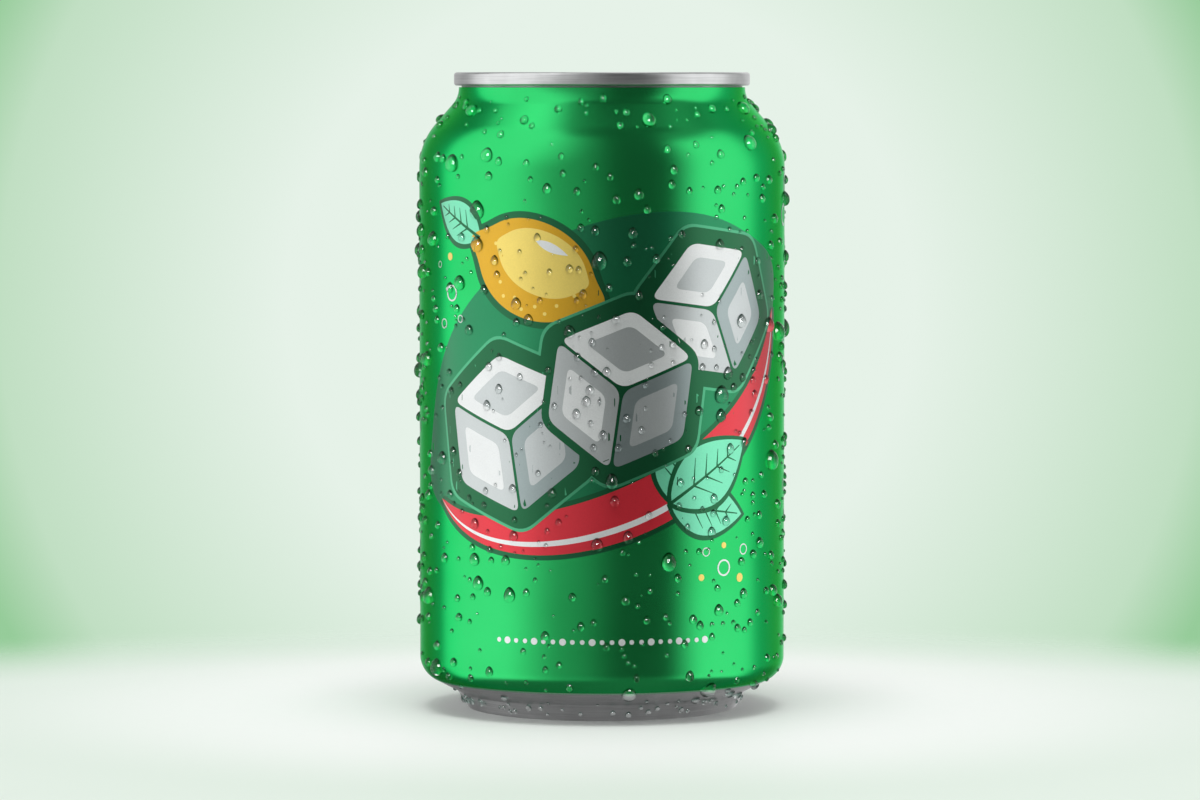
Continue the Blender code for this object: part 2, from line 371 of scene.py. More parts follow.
# %% [markdown]
# Drawn aluminium shows fine lines that run round the can, because the ironing rings and the
# necking tools turn with it. A noise that is stretched along the turn gives those lines. It
# reads the height and the distance from the axis, with only a little of the angle.

# %% Aluminium finish
def turned_aluminium(name, colour, roughness, line_scale):
    """Bare metal with fine lines round the axis and a faint cloudiness."""
    finish = Finish(name, Metallic=1.0)
    x, y, z = finish.axes()
    radius = (x * x + y * y).math("SQRT")
    lines = finish.noise(line_scale, 3.0, place=finish.vector(radius, x * 0.02, z))
    cloud = finish.noise(260.0, 3.0)
    tone = lines * 0.6 + cloud * 0.4
    dark = tuple(channel * 0.82 for channel in colour)
    light = tuple(min(1.0, channel * 1.1) for channel in colour)
    finish.grained(tone, dark, light)
    finish.set("Roughness", roughness * (0.8 + 0.4 * lines))
    finish.bump(lines, 0.004 * MM, 0.5)
    return finish.material


BASE_METAL = turned_aluminium("base_metal", (0.60, 0.61, 0.61), 0.30, 5200.0)
END_METAL = turned_aluminium("end_metal", (0.63, 0.64, 0.64), 0.32, 7000.0)

# %% [markdown]
# The core is the bare can: neck, wall, foot and the dome pushed up into the base, filled as
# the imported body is. Paint hides most of it, and the foot and the dome stay bare.

# %% Bare core
DOME_EDGE = Vector((22.4 * MM, 2.2 * MM))
DOME_HEIGHT = 10.0 * MM
DOME_STEPS = 28
UNDER_END = [
    (0.0, 109.3 * MM), (21.6 * MM, 109.3 * MM), (21.9 * MM, 107.9 * MM),
    (24.3 * MM, 107.9 * MM), (25.43 * MM, CAN_HEIGHT - SEAM_HEIGHT - GAP),
]


def dome_points():
    """Round dome under the base, from its edge to the axis."""
    rise = DOME_HEIGHT - DOME_EDGE.y
    sphere = (DOME_EDGE.x ** 2 + rise ** 2) / (2 * rise)
    widest = math.asin(DOME_EDGE.x / sphere)
    angles = [widest * (1 - step / DOME_STEPS) for step in range(1, DOME_STEPS + 1)]
    return [(sphere * math.sin(angle), DOME_HEIGHT - sphere * (1 - math.cos(angle)))
            for angle in angles]


WALL = rounded(OUTER_WALL, FINE_CHORD)
core = turn_piece("can_core", UNDER_END + [tuple(p) for p in WALL] + dome_points(), BASE_METAL)
fit(core, "base_aluminium", "can_body")

# %% [markdown]
# The green is a clear lacquer over bright metal, so it shines like metal with a colour of its
# own, under a thin clear coat. It ends above the foot in a crisp border, where a hair of the
# bright metal shows. The coat is a real shell with its own edge, a few hundredths of a
# millimetre thick.

# %% Green coat
PAINT_LIFT = 0.02 * MM
PAINT_SUNK = 0.05 * MM
BORDER_HEIGHT = 5.45 * MM
BORDER_LINE = 0.28 * MM


def green_lacquer():
    """Clear green over bright metal, with a pale line at its lower border."""
    finish = Finish("green_lacquer", Metallic=0.98, Coat_Roughness=0.04, Coat_IOR=1.4,
                    Specular_Tint=(0.05, 0.75, 0.28, 1.0))
    z = finish.axes()[2]
    fine = finish.noise(2600.0, 2.0)
    broad = finish.noise(55.0, 2.0)
    green = finish.grained(broad, (0.026, 0.520, 0.132), (0.031, 0.565, 0.150))
    line = 1.0 - z.rise(BORDER_HEIGHT + BORDER_LINE * 0.8, BORDER_HEIGHT + BORDER_LINE * 1.2)
    finish.set("Base Color", finish.mix(line, green, (0.62, 0.80, 0.66)))
    finish.set("Roughness", 0.20 + 0.05 * fine)
    finish.set("Coat Weight", 0.10 + 0.06 * broad)
    finish.bump(fine, 0.003 * MM, 0.25)
    return finish.material


def shifted(points, distance):
    """Section points moved outwards along their normals."""
    moved = []
    for index, point in enumerate(points):
        before = points[max(index - 1, 0)]
        after = points[min(index + 1, len(points) - 1)]
        along = (after - before).normalized()
        moved.append(point + distance * Vector((-along.y, along.x)))
    return moved


def wall_above(points, height):
    """The part of the wall above a height, with a last point right at it."""
    kept = [point for point in points if point.y > height]
    below = points[len(kept)]
    share = (kept[-1].y - height) / (kept[-1].y - below.y)
    return kept + [kept[-1].lerp(below, share)]


PAINTED = wall_above(WALL, BORDER_HEIGHT)
outside = shifted(PAINTED, PAINT_LIFT)
inside = shifted(PAINTED, -PAINT_SUNK)
paint_ring = outside + inside[::-1] + outside[:1]
paint = turn_piece("paint_coat", paint_ring, green_lacquer())
fit(paint, "green_paint")

# %% [markdown]
# Print on a can is a set of thin ink films that lie on the lacquer. Each film is cut here from
# flat outlines: s runs round the wall to the right of the label's centre line, and z is the
# height. The outlines are joined and split into triangles no wider than a millimetre, wrapped
# round the wall, and closed to a shell that is only hundredths of a millimetre thick. Where
# films overlap, each lies on a level of its own, so the higher one hides the lower one.

# %% Films
WALL_RADIUS = BODY_RADIUS + PAINT_LIFT
FILM_LEVEL = 0.006 * MM
FILM_SUNK = 0.01 * MM
FILM_STEP = 1.0 * MM
HALF_TURN = math.pi * BODY_RADIUS
LABEL_CENTRE = Vector((0.0, 61.0 * MM))


def stepped(outline):
    """Counterclockwise outline with no side longer than FILM_STEP."""
    if sum(first.cross(second) for first, second in zip(outline, outline[1:] + outline[:1])) < 0:
        outline = outline[::-1]
    points = []
    for first, second in zip(outline, outline[1:] + outline[:1]):
        count = max(1, math.ceil((second - first).length / FILM_STEP))
        points += [first.lerp(second, step / count) for step in range(count)]
    return points


def wrapped(s, z, radius):
    """Point on the wall at a flat place."""
    angle = s / BODY_RADIUS
    return (radius * math.sin(angle), -radius * math.cos(angle), z)


def split_flat(outlines, inside, holes):
    """Flat points and triangles of the joined outlines, less those whose numbers are holes."""
    rows = [point for outline in outlines for point in outline]
    faces = []
    for outline in outlines:
        start = sum(len(face) for face in faces)
        faces.append(list(range(start, start + len(outline))))
    flat, _, triangles, _, _, sources = delaunay_2d_cdt(rows + inside, [], faces, 1, 1e-7, True)
    kept = [tri for tri, source in zip(triangles, sources) if source and not holes & set(source)]
    return flat, kept


def shell_faces(triangles, above, under):
    """Faces of a closed shell: a sheet of triangles, its underside and the strips at its rims."""
    sides = {(tri[k], tri[(k + 1) % 3]) for tri in triangles for k in range(3)}
    faces = []
    for a, b, c in triangles:
        faces.append((above[a], above[b], above[c]))
        faces.append((under[c], under[b], under[a]))
    faces += [(above[b], above[a], under[a], under[b])
              for a, b in sorted(sides) if (b, a) not in sides]
    return faces


class Film:
    """Ink film that is gathered from shells and then made one piece."""

    def __init__(self, name, material):
        self.name = name
        self.material = material
        self.points = []
        self.faces = []

    def cut(self, shapes, level):
        """Add the joined shapes as a closed shell on both faces of the can."""
        outlines = [stepped(shape) for shape in shapes]
        rim = [point for outline in outlines for point in outline]
        low = Vector((min(p.x for p in rim), min(p.y for p in rim)))
        high = Vector((max(p.x for p in rim), max(p.y for p in rim)))
        inside = [low + FILM_STEP * Vector((column, 2 * row))
                  for column in range(1, int((high.x - low.x) / FILM_STEP) + 1)
                  for row in range(1, int((high.y - low.y) / (2 * FILM_STEP)) + 1)]
        flat, kept = split_flat(outlines, inside, set())
        for side in range(2):
            self.close(flat, kept, level, side * HALF_TURN)

    def close(self, flat, triangles, level, shift):
        """Wrap the triangles round the wall and close them to a thin shell."""
        used = sorted({number for tri in triangles for number in tri})
        start = len(self.points)
        above = {number: start + place for place, number in enumerate(used)}
        under = {number: start + len(used) + place for place, number in enumerate(used)}
        for radius in (WALL_RADIUS + level * FILM_LEVEL, WALL_RADIUS - FILM_SUNK):
            self.points += [wrapped(flat[n].x + shift, flat[n].y, radius) for n in used]
        self.faces += shell_faces(triangles, above, under)

    def lay(self):
        """Make the piece, with normals that follow the round wall exactly."""
        mesh = plain_mesh(self.name, self.points, faces=self.faces)
        mesh.materials.append(self.material)
        piece = linked(self.name, mesh)
        follow_wall(piece)
        fit(piece, "print_ink")
        print(f"{self.name}: {len(self.faces)} faces")


def follow_wall(piece):
    """Give the outward faces of a print piece the normals of the round wall."""
    mesh = piece.data
    mesh.shade_smooth()
    mesh.set_sharp_from_angle(angle=math.radians(40))
    normals = [(0.0, 0.0, 0.0)] * len(mesh.loops)
    for face in mesh.polygons:
        centre = Vector((face.center.x, face.center.y, 0.0)).normalized()
        if face.normal.dot(centre) > 0.9:
            for loop in face.loop_indices:
                place = mesh.vertices[mesh.loops[loop].vertex_index].co
                normals[loop] = Vector((place.x, place.y, 0.0)).normalized()
    mesh.normals_split_custom_set(normals)


# %% [markdown]
# Ink is partly clear: some of the shine of the metal under it comes through, and the rest is
# matt pigment. So every ink is part metallic, and a fine grain of dots varies its depth.

# %% Inks
INK_ROUGHNESS = 0.26
INK_DEPTH = 0.05


def ink(name, colour, metallic):
    """Print ink with a fine grain in its colour."""
    finish = Finish(name, Metallic=metallic, Coat_Weight=0.4, Coat_Roughness=0.05)
    grain = finish.noise(5200.0, 1.0)
    broad = finish.noise(90.0, 2.0)
    tone = grain * 0.5 + broad * 0.5
    low = tuple(channel * (1 - INK_DEPTH) for channel in colour)
    high = tuple(min(1.0, channel * (1 + INK_DEPTH)) for channel in colour)
    finish.grained(tone, low, high)
    finish.set("Roughness", INK_ROUGHNESS + 0.08 * grain)
    finish.bump(grain, 0.002 * MM, 0.3)
    return finish.material


field = Film("print_field", ink("field_ink", (0.012, 0.240, 0.095), 0.90))
deep = Film("print_outline", ink("deep_ink", (0.006, 0.130, 0.045), 0.85))
line = Film("print_keyline", ink("line_ink", (0.070, 0.420, 0.210), 0.85))
white = Film("print_white", ink("white_ink", (0.86, 0.88, 0.88), 0.50))
silver = Film("print_silver", ink("silver_ink", (0.56, 0.60, 0.60), 0.72))
shade = Film("print_shade", ink("shade_ink", (0.33, 0.40, 0.40), 0.80))
gold = Film("print_gold", ink("gold_ink", (0.72, 0.40, 0.015), 0.72))
pale_gold = Film("print_pale_gold", ink("pale_gold_ink", (0.93, 0.72, 0.16), 0.60))
mint = Film("print_mint", ink("mint_ink", (0.20, 0.80, 0.50), 0.62))
red = Film("print_red", ink("red_ink", (0.78, 0.030, 0.050), 0.60))

# %% [markdown]
# The print itself is a plain design of fields and simple shapes: a tilted green field, three
# ice cubes, a whole lemon with its leaf, a sprig of mint and a red ribbon. A cube seen from a
# corner is a hexagon split in three rhombs, so its outline and its sides come from the same
# six corners.

# %% Flat outlines
def polar(centre, radius, degrees):
    """Point at a distance and angle from a centre."""
    angle = math.radians(degrees)
    return centre + radius * Vector((math.cos(angle), math.sin(angle)))


def offset(outline, distance):
    """Convex outline, counterclockwise, with its sides moved outwards."""
    moved = []
    for index, corner in enumerate(outline):
        before = (corner - outline[index - 1]).normalized()
        after = (outline[(index + 1) % len(outline)] - corner).normalized()
        out_before = Vector((before.y, -before.x))
        out_after = Vector((after.y, -after.x))
        middle = (out_before + out_after).normalized()
        moved.append(corner + middle * distance / max(0.3, middle.dot(out_before)))
    return moved


def soft(outline, rounding, steps=6):
    """Convex outline with its corners rounded by a curve."""
    points = []
    for index, corner in enumerate(outline):
        back = outline[index - 1] - corner
        ahead = outline[(index + 1) % len(outline)] - corner
        first = corner + back.normalized() * min(rounding, back.length / 2)
        last = corner + ahead.normalized() * min(rounding, ahead.length / 2)
        for step in range(steps + 1):
            share = step / steps
            points.append(first.lerp(corner, share).lerp(corner.lerp(last, share), share))
    return points


def turned_flat(outline, centre, degrees):
    """Outline turned about the origin and then moved to a centre."""
    spin = Matrix.Rotation(math.radians(degrees), 2)
    return [centre + spin @ point for point in outline]


def lemon_outline(length, height, nub, grow=0.0):
    """Lemon with two small tips, about the origin."""
    points = []
    for step in range(96):
        angle = 2 * math.pi * step / 96
        tip = nub * abs(math.cos(angle)) ** 24
        points.append(Vector(((length + grow + tip) * math.cos(angle),
                              (height + grow) * math.sin(angle))))
    return points


def leaf_outline(length, width, grow=0.0):
    """Pointed leaf along +X from the origin, about its midrib."""
    upper = []
    for step in range(25):
        share = step / 24
        half = (width + grow) * math.sin(math.pi * share ** 0.85) ** 0.9
        upper.append(Vector(((length + 2 * grow) * share - grow, half)))
    lower = [Vector((point.x, -point.y)) for point in upper[-2:0:-1]]
    return lower[::-1] + upper[::-1]


# %% Ice cubes
CUBES = [
    (Vector((-17.0, -9.5)) * MM, 14.5 * MM, 9.0),
    (Vector((21.0, 12.5)) * MM, 13.0 * MM, 22.0),
    (Vector((3.5, -1.5)) * MM, 14.5 * MM, -8.0),
]
FRONT_CUBE = 2
CUBE_LEVEL = 14
CUBE_LINE = 3.1 * MM
CUBE_EDGE = 2.6 * MM
FRONT_EDGE = 1.1 * MM
CUBE_ROUNDING = 2.6 * MM
FACET_GAP = 0.55 * MM
FACET_ROUNDING = 1.8 * MM
INNER_INSET = 2.6 * MM
INNER_ROUNDING = 1.4 * MM

FIELD_SIZES = (40.0 * MM, 26.5 * MM, 3.5 * MM)
FIELD_TILT = 27.0
field.cut([turned_flat(lemon_outline(*FIELD_SIZES), LABEL_CENTRE, FIELD_TILT)], 1)

cubes = []
for place, size, turn in CUBES:
    centre = LABEL_CENTRE + place
    cubes.append((centre, [polar(centre, size, 90 + turn - 60 * k) for k in range(6)]))
hexagons = [corner[::-1] for _, corner in cubes]

line.cut([soft(offset(shape, CUBE_LINE), CUBE_ROUNDING) for shape in hexagons], CUBE_LEVEL)
deep.cut([soft(offset(shape, CUBE_EDGE), CUBE_ROUNDING) for shape in hexagons], CUBE_LEVEL + 1)

for number, (centre, corner) in enumerate(cubes):
    base = CUBE_LEVEL + 2
    if number == FRONT_CUBE:
        base += 3
        deep.cut([soft(offset(hexagons[number], FRONT_EDGE), CUBE_ROUNDING)], base - 1)
    facets = [
        ([centre, corner[1], corner[0], corner[5]], white, silver),
        ([centre, corner[5], corner[4], corner[3]], silver, white),
        ([centre, corner[3], corner[2], corner[1]], shade, silver),
    ]
    for facet, outer_film, _ in facets:
        outer_film.cut([soft(offset(facet, -FACET_GAP / 2), FACET_ROUNDING)], base)
    for facet, _, inner_film in facets:
        inner_film.cut([soft(offset(facet, -INNER_INSET), INNER_ROUNDING)], base + 1)
print("cubes:", len(cubes))

# %% [markdown]
# A lemon is an oval with a tip at each end. Its light side is a second, smaller lemon set off
# centre, and a few small pores give it scale. The mint sprig is three leaves from one stem,
# each with a dark midrib and side veins.

# %% Lemon and mint
LEMON_PLACE = LABEL_CENTRE + Vector((-12.5, 19.5)) * MM
LEMON_TILT = -24.0
LEMON_SIZES = (11.5 * MM, 8.6 * MM, 2.6 * MM)
LEMON_EDGE = 1.2 * MM
LIGHT_SIZES = (8.6 * MM, 5.6 * MM, 0.8 * MM)
LIGHT_SHIFT = (0.9 * MM, 1.7 * MM)
GLINT_SIZES = (6.4 * MM, 0.8 * MM)
GLINT_SHIFT = (-1.5 * MM, 5.0 * MM)
PORE_RADIUS = 0.34 * MM


def place_lemon(outline, shift=(0.0, 0.0)):
    """Lemon outline at its place on the label."""
    moved = [point + Vector(shift) for point in outline]
    return turned_flat(moved, LEMON_PLACE, LEMON_TILT)


deep.cut([place_lemon(lemon_outline(*LEMON_SIZES, LEMON_EDGE))], 2)
gold.cut([place_lemon(lemon_outline(*LEMON_SIZES))], 3)
pale_gold.cut([place_lemon(lemon_outline(*LIGHT_SIZES), LIGHT_SHIFT)], 4)
white.cut([place_lemon(leaf_outline(*GLINT_SIZES), GLINT_SHIFT)], 5)

PORES = [(-7.5, -2.0), (-5.0, -4.6), (-1.2, -5.9), (3.0, -5.7), (6.6, -3.9), (8.8, -1.0),
         (-8.6, 1.2), (0.8, -7.2), (-3.4, -6.6), (5.2, -6.1)]
pores = []
for x, y in PORES:
    ring = [polar(Vector((x, y)) * MM, PORE_RADIUS, 30 * k) for k in range(12)]
    pores.append(place_lemon(ring))
pale_gold.cut(pores, 4)

LEAVES = [
    (LABEL_CENTRE + Vector((-23.5, 25.0)) * MM, 12.5 * MM, 3.6 * MM, 152.0, 2),
    (LABEL_CENTRE + Vector((12.5, -21.0)) * MM, 13.0 * MM, 4.2 * MM, 78.0, 5),
    (LABEL_CENTRE + Vector((12.5, -22.0)) * MM, 15.5 * MM, 4.6 * MM, -8.0, 8),
    (LABEL_CENTRE + Vector((12.5, -21.5)) * MM, 19.0 * MM, 5.4 * MM, 33.0, 11),
]
LEAF_EDGE = 0.9 * MM
SIDE_VEINS = 4
MIDRIB_HALF = 0.32 * MM
VEIN_HALF = 0.17 * MM


def vein(start, end, half):
    """Thin tapered bar from a start to an end."""
    along = (end - start).normalized()
    across = Vector((-along.y, along.x)) * half
    return [start - across, end - across * 0.3, end + across * 0.3, start + across]


for root, length, width, turn, level in LEAVES:
    deep.cut([turned_flat(leaf_outline(length, width, LEAF_EDGE), root, turn)], level)
    mint.cut([turned_flat(leaf_outline(length, width), root, turn)], level + 1)
    veins = [vein(Vector((0.0, 0.0)), Vector((length * 0.93, 0.0)), MIDRIB_HALF)]
    for rib in range(1, SIDE_VEINS + 1):
        foot = Vector((length * (0.12 + 0.155 * rib), 0.0))
        reach = width * (0.86 - 0.13 * rib)
        for side in (-1, 1):
            veins.append(vein(foot, foot + Vector((reach * 0.75, side * reach)), VEIN_HALF))
    deep.cut([turned_flat(bar, root, turn) for bar in veins], level + 2)
print("leaves:", len(LEAVES))

# %% [markdown]
# A red crescent runs along the lower edge of the field and ends in a point on each side, with
# a narrow pale stripe inside it. Both are the room between two curves that follow the edge, so
# one rule gives them: an oval, moved in or out by a share of a thickness that swells midway.

# %% Crescent
CRESCENT_START = 188.0
CRESCENT_TURN = 158.0
CRESCENT_WIDTH = 9.0 * MM
CRESCENT_STEPS = 90
CRESCENT_HALVES = (41.0, 27.5)


def crescent(outer, inner, grow=0.0):
    """Room between two shares of the crescent's width, as an outline."""
    long, short = CRESCENT_HALVES
    rows = ([], [])
    for step in range(CRESCENT_STEPS + 1):
        share = step / CRESCENT_STEPS
        angle = math.radians(CRESCENT_START + CRESCENT_TURN * share)
        edge = Vector((long * MM * math.cos(angle), short * MM * math.sin(angle)))
        outward = Vector((math.cos(angle) / long, math.sin(angle) / short)).normalized()
        width = CRESCENT_WIDTH * math.sin(math.pi * share) ** 0.8
        rows[0].append(edge + outward * (grow - outer * width))
        rows[1].append(edge - outward * (grow + inner * width))
    return turned_flat(rows[0] + rows[1][::-1], LABEL_CENTRE, FIELD_TILT)


deep.cut([crescent(0.0, 1.0, LEAF_EDGE)], 2)
red.cut([crescent(0.0, 1.0)], 3)
white.cut([crescent(0.20, 0.32)], 4)

for film in (field, line, deep, white, silver, shade, gold, pale_gold, mint, red):
    film.lay()

# %% [markdown]
# A row of small beads runs low on the wall, and a few bubbles rise between the two faces of
# the label. They are one small flat ring or dot, set on many flat places and then wrapped
# round the wall by the same tree, so that each follows the curve exactly.

# %% Wrapping tree
def wrapping_tree():
    """Tree that sets thin discs or rings on flat places and wraps them round the wall."""
    sizes = {"Hole": 0.0, "Sides": 20, "Wall Radius": WALL_RADIUS, "Top": 0.02 * MM,
             "Depth": 0.03 * MM}
    nodes, given = new_tree("wrap_marks", sizes)
    circle = {"Resolution": given["Sides"], "Radius": (1 + given["Hole"]) * 0.5}
    path = nodes.add("GeometryNodeCurvePrimitiveCircle", circle, mode="RADIUS")
    width = 1 - given["Hole"]
    section = nodes.add("GeometryNodeCurvePrimitiveQuadrilateral",
                        {"Width": width, "Height": given["Depth"]}, mode="RECTANGLE")
    mark = nodes.add("GeometryNodeCurveToMesh",
                     {"Curve": path, "Profile Curve": section, "Fill Caps": False})
    size = nodes.carried("size")
    scale = nodes.vector(size, size, 1.0)
    marks = nodes.add("GeometryNodeInstanceOnPoints",
                      {"Points": given["Geometry"], "Instance": mark, "Scale": scale})
    real = nodes.add("GeometryNodeRealizeInstances", {"Geometry": marks})
    s, z, lift = nodes.split(nodes.add("GeometryNodeInputPosition"))
    radius = given["Wall Radius"] + given["Top"] + lift
    angle = s / BODY_RADIUS
    place = nodes.vector(radius * angle.math("SINE"), radius * angle.math("COSINE") * -1, z)
    bent = nodes.add("GeometryNodeSetPosition", {"Geometry": real, "Position": place})
    merged = nodes.add("GeometryNodeMergeByDistance", {"Geometry": bent, "Distance": 0.0005 * MM})
    return close_tree(nodes, merged, given["Material"])


WRAPPING = wrapping_tree()


def set_marks(name, places, sizes, hole, material):
    """Piece of flat marks at places of (s, z), each with its own radius."""
    start = plain_mesh(name, [(s, z, 0.0) for s, z in places])
    carry(start, "size", "FLOAT", sizes)
    piece = grown(name, WRAPPING, start, {"Hole": hole, "Material": material})
    finish_mesh(piece)
    follow_wall(piece)
    fit(piece, "print_ink")


BEAD_COUNT = 23
BEAD_PITCH = 1.75 * MM
BEAD_HEIGHT = 15.0 * MM
bead_places = []
bead_sizes = []
for side in range(2):
    for step in range(BEAD_COUNT):
        from_middle = step - (BEAD_COUNT - 1) / 2
        bead_places.append((side * HALF_TURN + from_middle * BEAD_PITCH, BEAD_HEIGHT))
        bead_sizes.append((0.62 if step % 3 == 1 else 0.42) * MM)
set_marks("print_beads", bead_places, bead_sizes, 0.0, white.material)

BUBBLE_COUNT = 15
bubble_draw = random.Random(7)
bubble_places = []
bubble_sizes = []
for side in (-1, 1):
    for step in range(BUBBLE_COUNT):
        share = step / (BUBBLE_COUNT - 1)
        sway = 5.0 * math.sin(step * 1.3) + bubble_draw.uniform(-1.2, 1.2)
        bubble_places.append((side * HALF_TURN / 2 + sway * MM, (19 + 76 * share) * MM))
        bubble_sizes.append((0.7 + 1.5 * share) * MM)
set_marks("print_bubbles", bubble_places, bubble_sizes, 0.72, line.material)

FIZZ = [(-31.0, 15.0, 1.5), (-33.5, 9.5, 0.9), (-28.5, 10.5, 0.7), (-35.0, 20.0, 0.6),
        (23.5, -33.5, 1.5), (28.5, -30.5, 1.0), (19.5, -30.5, 0.8)]
FIZZ_DOTS = [(27.5, -35.5, 0.8), (18.5, -35.0, 0.6), (23.5, -29.5, 0.55), (-31.5, 21.5, 0.7)]


def fizz(name, marks, hole, material):
    """Bubbles beside the lemon and under the mint, on both faces of the can."""
    places = []
    for side in range(2):
        for x, y, _ in marks:
            place = LABEL_CENTRE + Vector((x, y)) * MM
            places.append((place.x + side * HALF_TURN, place.y))
    sizes = [size * MM for _, _, size in marks] * 2
    set_marks(name, places, sizes, hole, material)


fizz("print_fizz_rings", FIZZ, 0.80, white.material)
fizz("print_fizz_dots", FIZZ_DOTS, 0.0, pale_gold.material)

# %% [markdown]
# Water condenses as beads that sit on the wall with a steep edge and sag a little, so each is
# fuller at its lower side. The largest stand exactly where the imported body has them: the same
# seeded draws give the same places. Two finer sizes fill in between and keep clear of them,
# and a few more of the smaller ones hang on the bare foot.

# %% Droplet places
LARGE_SEED = 330
MEDIUM_SEED = 71
FINE_SEED = 72
FOOT_SEED = 73
WALL_HEIGHTS = (1.0 * MM, 111.6 * MM)
FOOT_HEIGHTS = (0.4 * MM, 3.7 * MM)
STRETCH = 1.18


def falling(count, largest, smallest, power):
    """Droplet sizes that fall from the largest to the smallest."""
    return [largest + (smallest - largest) * (k / (count - 1)) ** power for k in range(count)]


def wall_point(outline, height):
    """Radius of the outside at a height, and its outward normal as (radial, up)."""
    for upper, lower in zip(outline, outline[1:]):
        if upper.y >= height > lower.y:
            share = (upper.y - height) / (upper.y - lower.y)
            along = (lower - upper).normalized()
            return upper.x + share * (lower.x - upper.x), Vector((-along.y, along.x))
    raise ValueError("the height is off the wall")


def scatter(seed, sizes, outline, spacing, tries, taken, heights=WALL_HEIGHTS):
    """Place, frame and radius of new droplets that keep clear of those already taken."""
    draw = random.Random(seed)
    lowest, highest = heights
    spots = []
    centres = [place for place, _, _ in taken]
    radii = [size for _, _, size in taken]
    for size in sizes:
        for _ in range(tries):
            turn = draw.uniform(0, 2 * math.pi)
            reach = STRETCH * size
            height = draw.uniform(lowest + reach, highest - reach)
            radius, (outward, up) = wall_point(outline, height)
            spin = Matrix.Rotation(turn, 3, "Z")
            place = spin @ Vector((radius, 0, height))
            if all((place - other).length > spacing * (size + other_size)
                   for other, other_size in zip(centres, radii)):
                normal = spin @ Vector((outward, 0, up))
                side = spin @ Vector((0, 1, 0))
                spots.append((place, (side, normal.cross(side), normal), size))
                centres.append(place)
                radii.append(size)
                break
    return spots


NODE_OUTLINE = rounded(NODE_WALL, NODE_CHORD)
large = scatter(LARGE_SEED, falling(140, 1.75 * MM, 0.85 * MM, 0.55), NODE_OUTLINE, 1.3, 400, [])
medium = scatter(MEDIUM_SEED, falling(540, 0.86 * MM, 0.48 * MM, 0.8), WALL, 1.25, 60, large)
fine = scatter(FINE_SEED, falling(640, 0.44 * MM, 0.22 * MM, 0.9), WALL, 1.3, 60, large + medium)
foot = scatter(FOOT_SEED, falling(60, 0.66 * MM, 0.28 * MM, 0.7), WALL, 1.3, 60,
               large + medium + fine, FOOT_HEIGHTS)
print("droplets:", len(large), len(medium), len(fine), len(foot))

# %% [markdown]
# One tree makes all the beads. It shapes four slightly different ones from a sphere: most of
# its rings make the dome, and the last ones a flat underside in the wall. A noise makes the
# outline uneven, and the top is a little narrower than the bottom. Each point picks one, and
# carries its own size, its stretch and the way it faces. The tree also keeps how far down the
# dome a point lies, less a share towards the lower side, as the attribute edge. The water is
# darkened by it as painted shade: dark down the steep edge, and most along the upper side.

# %% Droplet tree
VARIANTS = 4


def droplet_tree():
    """Tree that sets uneven beads of water on points."""
    sizes = {"Segments": 24, "Rings": 12, "Stand Out": 0.90, "Sunk": 0.25, "Sag": 0.16,
             "Taper": 0.20, "Upper Shade": 0.16, "Unevenness": 0.22, "Seed": 4.0}
    nodes, given = new_tree("bead_of_water", sizes)
    shapes = nodes.tree.nodes.new("GeometryNodeJoinGeometry")
    for variant in range(VARIANTS):
        sphere = nodes.add("GeometryNodeMeshUVSphere",
                           {"Segments": given["Segments"], "Rings": given["Rings"]})
        position = nodes.add("GeometryNodeInputPosition")
        x, y, z = nodes.split(position)
        polar_angle = z.math("ARCCOSINE")
        down = (polar_angle * 0.75).math("MINIMUM", math.pi / 2)
        below = (polar_angle * 3 / math.pi - 2).math("MAXIMUM", 0.0)
        reach = (x * x + y * y).math("SQRT").math("MAXIMUM", 0.0001)
        widen = down.math("SINE") * (1 - below) / reach
        dome = down.math("COSINE")
        x = x * widen
        y = y * widen
        # edge feeds painted shade: how far down the dome, shifted so the upper side reads darkest.
        edge = down * 2 / math.pi - (1 - y) * given["Upper Shade"]
        lump = {"Vector": position, "W": given["Seed"] + 3.7 * variant, "Scale": 0.7, "Detail": 0.0}
        noise = nodes.add("ShaderNodeTexNoise", lump, noise_dimensions="4D")
        swell = 1 + (noise - 0.5) * given["Unevenness"]
        shaped = nodes.vector(x * swell * (1 - y * given["Taper"]),
                              y * swell - dome * given["Sag"],
                              dome * given["Stand Out"] - below * given["Sunk"])
        marked = nodes.add("GeometryNodeStoreNamedAttribute",
                           {"Geometry": sphere, "Name": "edge", "Value": edge}, data_type="FLOAT")
        bead = nodes.add("GeometryNodeSetPosition", {"Geometry": marked, "Position": shaped})
        one = nodes.add("GeometryNodeGeometryToInstance", {"Geometry": bead})
        nodes.feed(shapes.inputs[0], one)
    size = nodes.carried("size")
    beads = nodes.add("GeometryNodeInstanceOnPoints", {
        "Points": given["Geometry"],
        "Instance": Value(nodes, shapes.outputs[0]),
        "Pick Instance": True,
        "Instance Index": nodes.carried("variant", "INT"),
        "Rotation": nodes.carried("facing", "QUATERNION"),
        "Scale": nodes.vector(size, size * nodes.carried("stretch"), size),
    })
    return close_tree(nodes, beads, given["Material"])


DROPLETS = droplet_tree()


def water():
    """Clear water with painted shade: dark down each bead's steep edge, most along its upper side.
    """
    finish = Finish("clear_water", IOR=1.333, Transmission_Weight=1.0, Roughness=0.0)
    edge = finish.add("ShaderNodeAttribute", output="Fac", attribute_name="edge")
    uneven = finish.noise(1500.0, 1.0)
    clear = finish.mix(uneven, (0.95, 1.0, 0.97), (1.0, 1.0, 1.0))
    # Painted shade: the water's colour darkens down each bead's edge, most along its upper side.
    painted_rim_shade = (edge + 0.12 * uneven).rise(0.48, 0.82)
    finish.set("Base Color", finish.mix(painted_rim_shade, clear, (0.11, 0.21, 0.17)))
    finish.bump(uneven, 0.01 * MM, 0.2)
    return finish.material


WATER = water()
BEAD_LIFT = 0.03 * MM


